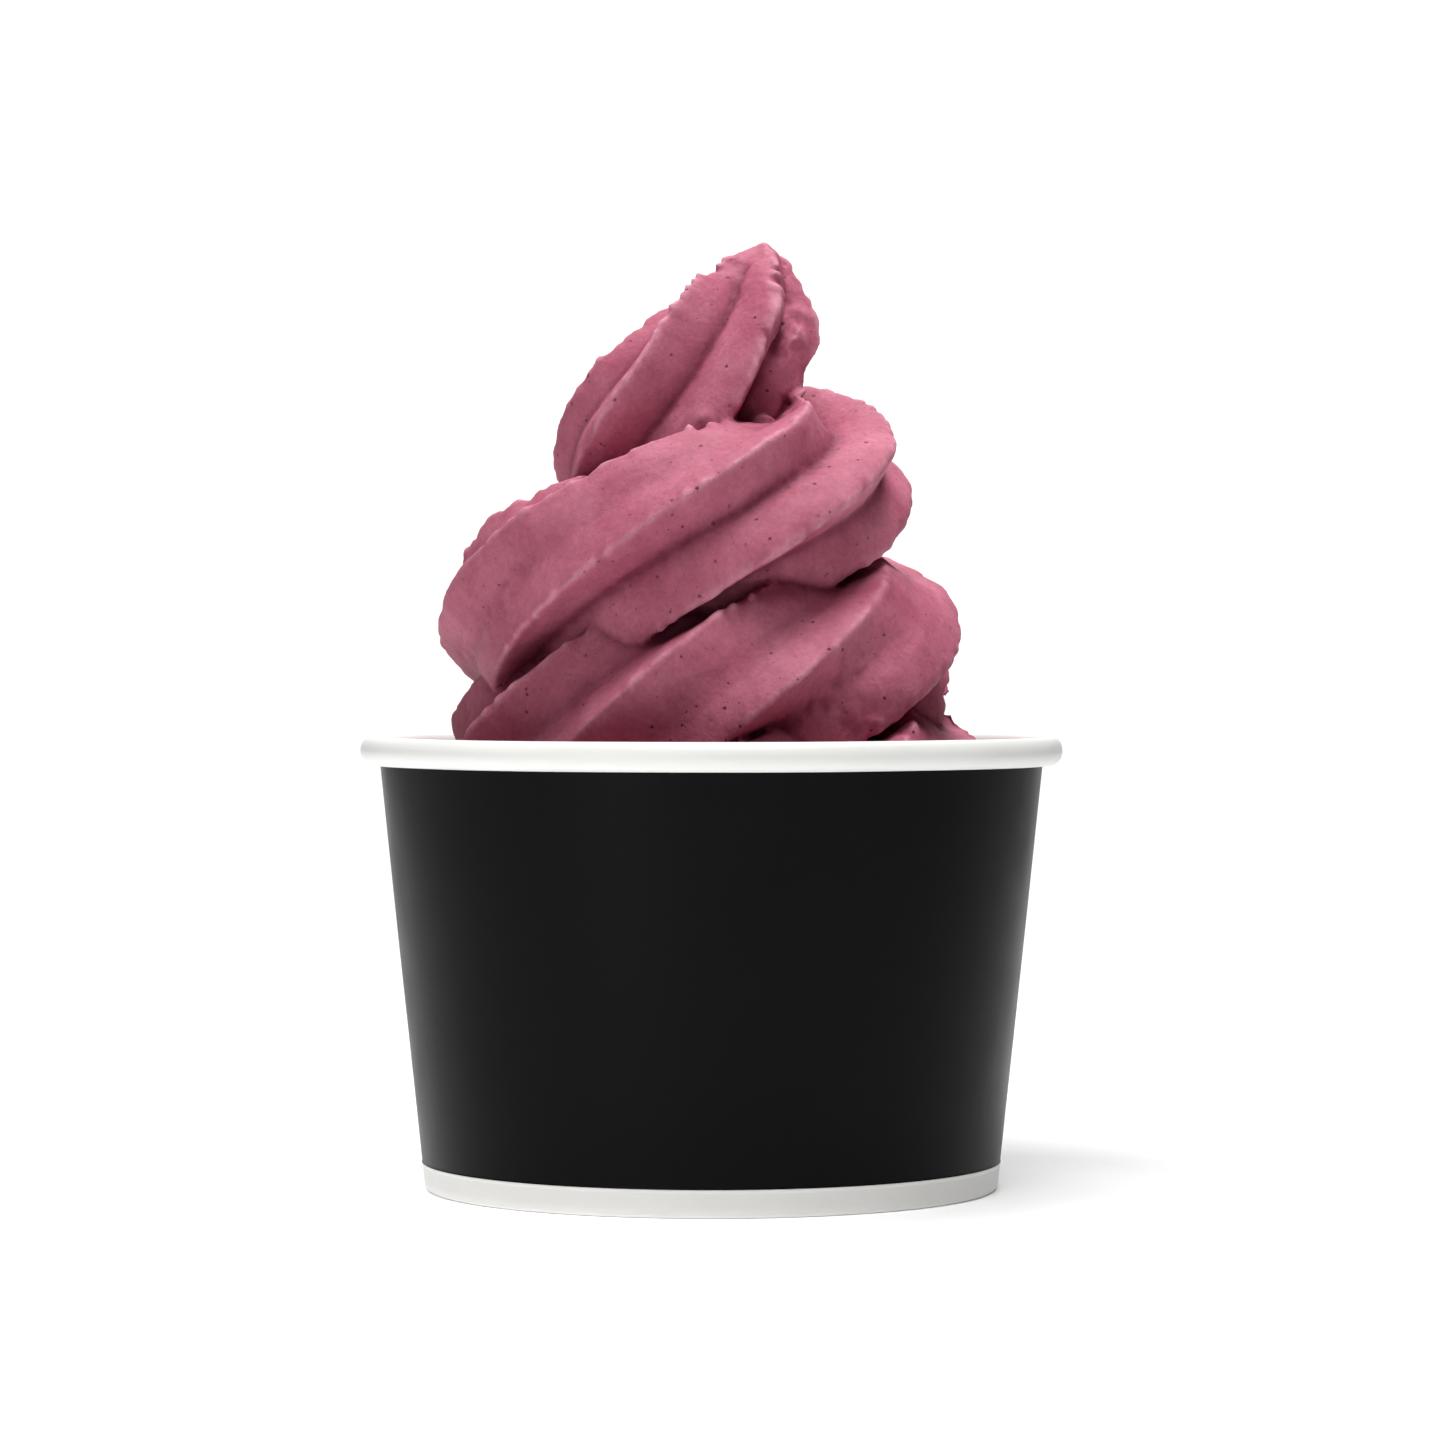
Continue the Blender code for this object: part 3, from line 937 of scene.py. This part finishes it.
@dataclass
class SoftServe:
    """One rope of ice cream, pushed through a star nozzle and coiled up into a tip.

    Attributes:
        top: Height of the tip, from the frame.
        cup: The cup that it fills.
        stations: The rope's path and girth.
        ridge_start: Degrees: the first ridge at turn zero, 0 outwards and 90 up.
        groove_depths: Depth of the groove after each of the six ridges, as a share of the radius.
        groove_bottoms: Where each groove's bottom lies, 0 at its own ridge and 1 at the next.
        groove_softness: 0 for grooves that are creased and more for round ones.
        ridge_softness: For each ridge, 0 for a knife edge and more for a round one.
        along_step: Grid step along the rope.
        around_steps: Grid steps round the rope.
        bulk_top: Top of the bulk under the coils.
        core: (radius, height) of the core that the coils wind round, from the bulk up.
        scraps: What is stuck to the rope.
        touches: Where its skin is pushed or torn.
        cell: Cell size in which the coils are fused.
        wear_rounds: Rounds of wear by which the grooves are told from the ridges.
        smear_turn: Where the groove under the last ridge was smeared.
        smear_length: Turns from there to where the smear has faded to 0.4 of its strength.
        smear_fill: Share of the groove that it fills.
        wall_clearance: Kept from the skin to the cup's wall.
        tip_clearance: Kept from the tip to the CAD's.
        triangles: How many triangles the finished skin keeps.
    """

    top: float
    cup: PaperCup
    stations: list[Station] = field(default_factory=quarter_turn_stations)
    ridge_start: float = -5.0
    groove_depths: tuple[float, ...] = (0.27, 0.28, 0.30, 0.34, 0.38, 0.17)
    groove_bottoms: tuple[float, ...] = (0.50, 0.50, 0.50, 0.55, 0.59, 0.48)
    groove_softness: float = 0.15
    ridge_softness: tuple[float, ...] = (0.04, 0.06, 0.10, 0.08, 0.06, 0.07)
    along_step: float = 0.42
    around_steps: int = 252
    bulk_top: float = 42.0
    core: tuple[tuple[float, float], ...] = ((22.0, 42.0), (5.0, 94.0), (0.5, 95.0))
    scraps: tuple[Dab, ...] = field(default_factory=stuck_scraps)
    touches: tuple[Touch, ...] = field(default_factory=rough_places)
    cell: float = 0.38
    wear_rounds: int = 70
    smear_turn: float = -0.55
    smear_length: float = 0.13
    smear_fill: float = 0.75
    wall_clearance: float = 0.12
    tip_clearance: float = 0.06
    triangles: int = 190_000

    @classmethod
    def from_frame(cls, cup: PaperCup) -> "SoftServe":
        """Take the tip's height from the CAD ice cream."""
        return cls(top=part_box("ice_cream")[1].z / MM, cup=cup)

    def at_turns(self, turns: np.ndarray) -> np.ndarray:
        """Reach, height, radius and the two leads at any turn.

        Between two stations each is a cubic whose slopes at its ends come from the stations on
        both sides.

        Args:
            turns: Places along the rope.

        Returns:
            Array (turns, 5).
        """
        knots = np.array([station.turn for station in self.stations])
        values = np.array([(station.reach, station.height, station.radius, station.lead,
                            station.last_lead) for station in self.stations])
        slopes = np.gradient(values, knots, axis=0)
        index = np.clip(np.searchsorted(knots, turns, side="right") - 1, 0, len(knots) - 2)
        width = (knots[index + 1] - knots[index])[:, None]
        s = (turns - knots[index])[:, None] / width
        return ((2 * s**3 - 3 * s**2 + 1) * values[index]
                + (s**3 - 2 * s**2 + s) * width * slopes[index]
                + (3 * s**2 - 2 * s**3) * values[index + 1]
                + (s**3 - s**2) * width * slopes[index + 1])

    def even_turns(self) -> tuple[np.ndarray, np.ndarray]:
        """Turns spaced evenly along the rope's outer side, and the length up to each.

        Returns:
            The turns, and the rope's length there in millimetres.
        """
        fine = np.linspace(self.stations[0].turn, self.stations[-1].turn, 4000)
        reach, height, radius = self.at_turns(fine)[:, :3].T
        around = 2 * np.pi * (reach + 0.5 * radius) * np.gradient(fine)
        length = np.cumsum(np.hypot(around, np.gradient(height)))
        even = np.arange(0.0, length[-1], self.along_step)
        return np.interp(even, length, fine), even

    def groove(self, angle: np.ndarray) -> np.ndarray:
        """Depth of the star section below its ridges, as a share of the rope's radius.

        Between two ridges the wave is the mean of a half sine and of a triangle with a rounded
        crease, on a scale bent by a power so that its middle comes to the groove's bottom: the
        side under an overhanging ridge is the steeper. It is rounded at the ridge as
        sqrt(wave^2 + softness^2) - softness, with each ridge's own softness, and scaled to the
        groove's own depth.

        Args:
            angle: Round the section, zero on the first ridge.

        Returns:
            The depth, 0 on a ridge.
        """
        count = len(self.groove_depths)
        place = angle * count / (2 * np.pi)
        index = np.floor(place).astype(int) % count
        part = (place % 1.0) ** (math.log(0.5) / np.log(self.groove_bottoms))[index]
        crease = self.groove_softness
        slope = np.sqrt((2 * part - 1) ** 2 + crease**2) - crease
        wave = (1 - slope / (np.sqrt(1 + crease**2) - crease) + np.sin(np.pi * part)) / 2
        soft = np.array(self.ridge_softness)[np.round(place).astype(int) % count]
        rounded = (np.sqrt(wave**2 + soft**2) - soft) / (np.sqrt(1 + soft**2) - soft)
        return np.array(self.groove_depths)[index] * rounded

    def relief(self, points: np.ndarray, turns: np.ndarray, length: np.ndarray,
               angle: np.ndarray) -> np.ndarray:
        """How far the surface stands out from the smooth star section.

        Sum of slow swells over the whole rope, streaks that the nozzle drew along it, torn edges
        along the ridges, which fade within a few degrees of each and are rougher in some
        stretches, and crumb that is coarser in some patches than in others. The first ridge is
        torn most where it tops the upper coil, and every ridge in the tip, where the rope was
        pulled off.

        Args:
            points: Array (rows, columns, 3) on the smooth rope.
            turns: Turn of each row.
            length: Along the rope, (rows).
            angle: Round the section, (columns).

        Returns:
            Array (rows, columns) in millimetres.
        """
        count = len(self.ridge_softness)
        pitch = 2 * np.pi / count
        index = np.round(angle / pitch).astype(int) % count
        off_ridge = np.degrees(np.abs((angle + pitch / 2) % pitch - pitch / 2))
        sharp = np.clip(1.3 - 5.0 * np.array(self.ridge_softness)[index], 0.25, 1.0)
        swell = 0.30 * layered_noise(points, 9.0, 2, seed=3)
        flow = np.stack(np.broadcast_arrays(
            length[:, None] / 14.0, np.degrees(angle)[None, :] / 4.0, 0.0), axis=-1)
        streak = (0.07 * lattice_noise(flow, seed=11)
                  + 0.05 * lattice_noise(flow * (1.0, 2.3, 1.0), seed=12))
        edge = np.stack(np.broadcast_arrays(
            length[:, None] / 3.4, 7.0 * index[None, :], 0.0), axis=-1)
        coarse = lattice_noise(edge, seed=21)
        fine = lattice_noise(edge * (3.1, 1.0, 1.0), seed=22)
        whole = 0.4 + 1.4 * np.abs(lattice_noise(edge * (0.37, 1.0, 1.0), seed=23))
        ragged = np.exp(-((turns - 0.25) / 0.10) ** 2)[:, None] * (index == 0)[None, :]
        pulled = smooth_step(1.25, 1.50, turns)[:, None]
        rough = whole + 0.9 * ragged + 0.7 * pulled
        torn = (0.50 * coarse * np.abs(coarse) + 0.34 * fine) * rough
        torn = torn * (sharp * np.exp(-(off_ridge / 6.0) ** 2))[None, :]
        coarser = smooth_step(0.15, 0.6, layered_noise(points, 9.0, 2, seed=33))
        patch = 0.25 + 1.3 * coarser + 0.8 * pulled
        crumb = 0.16 * patch * layered_noise(points, 1.5, 2, seed=31)
        return swell + streak + torn + crumb

    def rope_grid(self) -> np.ndarray:
        """The rope's surface on a grid of (length along it, angle round it).

        The middle follows (reach cos b, reach sin b, height) with the bearing b one full circle a
        turn. The section stands square to it, spanned by the outward and upward directions, and
        turns once a coil plus the stations' lead. The last ridge goes a little further, and takes
        its flanks with it. The grooves are deepest in the last coil and shallow in the tip, and
        the one under the last ridge was smeared nearly full at the right of the coil below.

        Returns:
            Array (rows, columns, 3).
        """
        turns, length = self.even_turns()
        reach, height, radius, lead, last_lead = self.at_turns(turns).T
        bearing = np.pi + 2 * np.pi * turns
        middle = np.stack([reach * np.cos(bearing), reach * np.sin(bearing), height], axis=1)
        along = np.gradient(middle, turns, axis=0)
        along /= np.linalg.norm(along, axis=1, keepdims=True)
        outward = np.stack([np.cos(bearing), np.sin(bearing), np.zeros_like(bearing)], axis=1)
        outward -= np.sum(outward * along, axis=1, keepdims=True) * along
        outward /= np.linalg.norm(outward, axis=1, keepdims=True)
        upward = np.cross(outward, along)
        angle = np.linspace(0.0, 2 * np.pi, self.around_steps, endpoint=False)
        last = len(self.groove_depths) - 1
        ridge = angle * (last + 1) / (2 * np.pi)
        near = np.clip(1 - np.abs(ridge - last), 0.0, 1.0)
        spin = (np.radians(self.ridge_start + lead)[:, None] + 2 * np.pi * turns[:, None] + angle
                + np.radians(last_lead)[:, None] * (near * near * (3 - 2 * near)))
        ray = (np.cos(spin)[..., None] * outward[:, None]
               + np.sin(spin)[..., None] * upward[:, None])
        deep = 1 + 0.30 * smooth_step(1.0, 1.2, turns) - 0.60 * smooth_step(1.42, 1.60, turns)
        under_last = (ridge > last - 1) * (ridge < last)
        smeared = np.exp(-((turns - self.smear_turn) / self.smear_length) ** 2)
        deep = deep[:, None] * (1 - self.smear_fill * smeared[:, None] * under_last)
        out = radius[:, None] * (1 - deep * self.groove(angle))
        smooth = middle[:, None] + out[..., None] * ray
        fade = np.clip(radius / 6.0, 0.0, 1.0)[:, None]
        return smooth + (fade * self.relief(smooth, turns, length, angle))[..., None] * ray

    def bulk_grid(self) -> np.ndarray:
        """The bulk in the cup and the core above it: a profile turned round the axis.

        Returns:
            Array (bearings, profile points, 3).
        """
        floor = self.cup.base_height + self.cup.gap
        wide = 1.0 - self.cup.paper
        profile = [(0.0, floor)]
        profile += [(self.cup.wall_radius(z) + wide, z)
                    for z in np.linspace(floor, self.bulk_top, 12)]
        profile += [(radius, z) for radius, z in self.core]
        profile += [(0.0, self.core[-1][1])]
        radius, height = np.array(profile).T
        bearing = np.linspace(0.0, 2 * np.pi, 180, endpoint=False)[:, None]
        grid = np.stack(np.broadcast_arrays(radius * np.cos(bearing), radius * np.sin(bearing),
                                            height), axis=-1)
        top = np.isclose(height, self.bulk_top)[None, :] * 1.0
        grid[..., 2] += 0.8 * top * layered_noise(grid, 12.0, 2, seed=41)
        return grid

    def fused(self) -> bpy.types.Mesh:
        """Fuse the rope's overlapping coils, the bulk and the scraps into one skin.

        Returns:
            The skin, still with far more triangles than it needs.
        """
        pieces = [mesh_from_grid("rope", self.rope_grid(), close_rows=False, cap_ends=True),
                  mesh_from_grid("bulk", self.bulk_grid(), close_rows=True, cap_ends=False)]
        pieces += [mesh_from_grid("scrap", scrap.grid(), close_rows=False, cap_ends=True)
                   for scrap in self.scraps]
        polygons, offset = [], 0
        for piece in pieces:
            polygons += [[offset + index for index in p.vertices] for p in piece.polygons]
            offset += len(piece.vertices)
        places = np.concatenate([points_of(piece) for piece in pieces])
        both = bpy.data.meshes.new("rope, bulk and scraps")
        both.from_pydata((places * MM).tolist(), [], polygons)
        both.update()
        item = show("rope, bulk and scraps", both)
        remesh = item.modifiers.new("Fuse", "REMESH")
        remesh.mode = "VOXEL"
        remesh.voxel_size = self.cell * MM
        skin = finished_mesh(item)
        bpy.data.objects.remove(item)
        return skin

    def settle(self, mesh: bpy.types.Mesh) -> None:
        """Touch the skin up, roughen it, and hold it inside the cup and under the CAD tip.

        Each point moves along its normal by fine noise and by the touches near it, whose folds
        are 1 - 2 |noise|, sharp on top. A point that would be in the cup's wall comes in to it,
        and one under the base disc's top comes up to it. How deep each point lies in a groove is
        kept in an attribute, from which the finish paints shade into the grooves and a highlight
        onto the ridges.

        Args:
            mesh: The fused skin.
        """
        points, normals = points_of(mesh), points_of(mesh, "normal")
        folds = 1 - 2 * np.abs(layered_noise(points * (1.0, 1.0, 0.6), 2.2, 2, seed=52))
        out = 0.08 * layered_noise(points, 1.0, 2, seed=51)
        for touch in self.touches:
            apart = np.sum((points - np.array(touch.place)) ** 2, axis=1)
            out += np.exp(-apart / (2 * touch.reach**2)) * (touch.push + touch.tear * folds)
        points = points + out[:, None] * normals
        room = self.cup.wall_radius(points[:, 2]) - self.cup.paper - self.wall_clearance
        radius = np.hypot(points[:, 0], points[:, 1])
        inside = points[:, 2] < self.cup.height
        squeeze = np.where(inside, np.minimum(1.0, room / np.maximum(radius, 1e-6)), 1.0)
        points[:, :2] *= squeeze[:, None]
        points[:, 2] = np.clip(points[:, 2], self.cup.base_height + self.cup.gap,
                               self.top - self.tip_clearance)
        place_points(mesh, points)
        hollow = mesh.attributes.new(HOLLOW, "FLOAT", "POINT")
        hollow.data.foreach_set("value", hollow_depth(mesh, self.wear_rounds).astype(np.float32))

    def build(self) -> list[tuple[bpy.types.Object, str, str]]:
        """Make the ice cream.

        Returns:
            The piece, the CAD node that it stands for and a label that tells it from the board.
        """
        skin = self.fused()
        self.settle(skin)
        item = show("soft_serve_swirl", skin)
        thin = item.modifiers.new("Thin", "DECIMATE")
        thin.ratio = min(1.0, self.triangles / (2 * len(skin.polygons)))
        mesh = finished_mesh(item)
        bpy.data.objects.remove(item)
        drop_crumbs(mesh)
        mesh.materials.clear()
        mesh.materials.append(SoftServeFinish().material())
        return [(show("soft_serve_swirl", mesh), "ice_cream", "soft_serve")]


# ---------------------------------------------------------------------------------------------
# The studio
# ---------------------------------------------------------------------------------------------

@dataclass
class Studio:
    """A white paper sweep, soft light from above, the front and the left, and the camera.

    The key and the fills are flagged off the paper, which has softboxes of its own, so that the
    floor stays white and only a soft shadow lies at the right of the foot.

    Attributes:
        cup: What is photographed, which the key and the fills light.
        board: The part of it that the low card in front lights.
        lens: Focal length for a 36 mm wide sensor.
        distance: Camera to the cup's axis.
        eye_height: Camera above the floor.
        pitch: Degrees that the camera looks down.
        yaw: Degrees that it looks to the right.
        floor_reach: How far the paper goes to the front and to each side. Past it is white.
        bend_start: Where the paper starts to curve up, behind the cup.
        bend: Radius of that curve.
        wall_height: Top of the paper.
    """

    cup: list[bpy.types.Object]
    board: list[bpy.types.Object]
    lens: float = 123.9
    distance: float = 678.0
    eye_height: float = 73.4
    pitch: float = 0.80
    yaw: float = 0.10
    floor_reach: float = 600.0
    bend_start: float = 1200.0
    bend: float = 900.0
    wall_height: float = 2600.0

    def build_sweep(self) -> bpy.types.Object:
        """Floor and backdrop in one: flat, then a quarter circle up, then straight up.

        The section runs along Y as (distance back, height), and is drawn out along X.

        Returns:
            The sweep.
        """
        turn = np.radians(np.linspace(-90.0, 0.0, 24))
        front = np.array([[-self.floor_reach, 0.0], [self.bend_start - self.bend, 0.0]])
        curve = np.stack([self.bend_start + self.bend * np.cos(turn),
                          self.bend + self.bend * np.sin(turn)], axis=1)
        top = np.array([[self.bend_start + self.bend, self.wall_height]])
        section = np.concatenate([front, curve, top])
        across = np.linspace(-self.floor_reach, self.floor_reach, 12)
        x, y = np.broadcast_arrays(across[:, None], section[None, :, 0])
        z = np.broadcast_to(section[None, :, 1], x.shape)
        mesh = mesh_from_grid("paper sweep", np.stack([x, y, z], axis=-1), close_rows=False,
                              cap_ends=False, close_columns=False)
        mesh.materials.append(BackdropFinish().material())
        sweep = show("paper_sweep", mesh)
        return sweep

    def add_softbox(self, name: str, place: tuple[float, float, float],
                    target: tuple[float, float, float], size: float, watts: float,
                    lit: list[bpy.types.Object] | None = None) -> None:
        """A square area light.

        Args:
            name: The light's name.
            place: Its place in millimetres.
            target: What it is aimed at, in millimetres.
            size: Its side in millimetres.
            watts: Its power.
            lit: What it lights, or nothing for all.
        """
        light = bpy.data.lights.new(name, "AREA")
        light.energy = watts
        light.size = size * MM
        item = bpy.data.objects.new(name, light)
        item.location = Vector(place) * MM
        aim = Vector(target) * MM - item.location
        item.rotation_euler = aim.to_track_quat("-Z", "Y").to_euler()
        bpy.context.scene.collection.objects.link(item)
        if lit:
            flagged = bpy.data.collections.new(f"lit by the {name}")
            for piece in lit:
                flagged.objects.link(piece)
            item.light_linking.receiver_collection = flagged

    def build_camera(self) -> None:
        """Set the camera at the photograph's place and angle."""
        camera = bpy.data.cameras.new("camera")
        camera.sensor_width = 36.0
        camera.lens = self.lens
        item = bpy.data.objects.new("camera", camera)
        item.location = Vector((0.0, -self.distance, self.eye_height)) * MM
        yaw, pitch = math.radians(self.yaw), math.radians(self.pitch)
        aim = Vector((math.sin(yaw), math.cos(yaw) * math.cos(pitch), -math.sin(pitch)))
        item.rotation_euler = aim.to_track_quat("-Z", "Y").to_euler()
        bpy.context.scene.collection.objects.link(item)
        bpy.context.scene.camera = item

    def build_world(self) -> None:
        """White all round for the camera alone, which lights nothing."""
        world = bpy.data.worlds.new("studio")
        world.use_nodes = True
        sky = world.node_tree.nodes["Background"]
        sky.inputs["Color"].default_value = (1.0, 1.0, 1.0, 1.0)
        rays = add_node(world.node_tree, "ShaderNodeLightPath")
        world.node_tree.links.new(rays.outputs["Is Camera Ray"], sky.inputs["Strength"])
        bpy.context.scene.world = world
        bpy.context.scene.view_settings.view_transform = "Standard"

    def build(self) -> None:
        """Set up the sweep, lights, world and camera."""
        swirl, foot, floor = (0.0, 0.0, 80.0), (0.0, 0.0, 20.0), (0.0, 0.0, 0.0)
        paper = [self.build_sweep()]
        self.build_world()
        softboxes = (
            ("key from above", (60.0, -60.0, 780.0), swirl, 240.0, 5.2, self.cup),
            ("front light", (60.0, -330.0, 640.0), swirl, 300.0, 1.1, self.cup),
            ("fill from the left", (-620.0, -120.0, 420.0), swirl, 300.0, 0.6, self.cup),
            ("low card in front", (-350.0, -600.0, 40.0), foot, 300.0, 1.4, self.board),
            ("floor light from the left", (-450.0, -150.0, 650.0), floor, 600.0, 3.9, paper),
            ("floor light from the front", (0.0, -500.0, 600.0), floor, 600.0, 6.6, paper),
            ("backdrop light", (0.0, 900.0, 1800.0), (0.0, 2000.0, 400.0), 1200.0, 36.0),
        )
        for softbox in softboxes:
            self.add_softbox(*softbox)
        self.build_camera()


def main() -> None:
    """Build the cup, the ice cream and the studio, and report each piece."""
    logging.basicConfig(level=logging.INFO, format="%(name)s: %(message)s")
    cup = PaperCup.from_frame()
    swirl = SoftServe.from_frame(cup)
    pieces = cup.build() + swirl.build()
    for piece, node, slot in pieces:
        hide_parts(node)
        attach(piece, "root")
        piece.data.calc_loop_triangles()
        log.info("%s stands for %s: %d triangles, %s mm", piece.name, node,
                 len(piece.data.loop_triangles), [round(v / MM, 1) for v in piece.dimensions])
    Studio(cup=[piece for piece, _, _ in pieces],
           board=[piece for piece, _, slot in pieces if slot != "soft_serve"]).build()


if __name__ == "__main__":
    main()
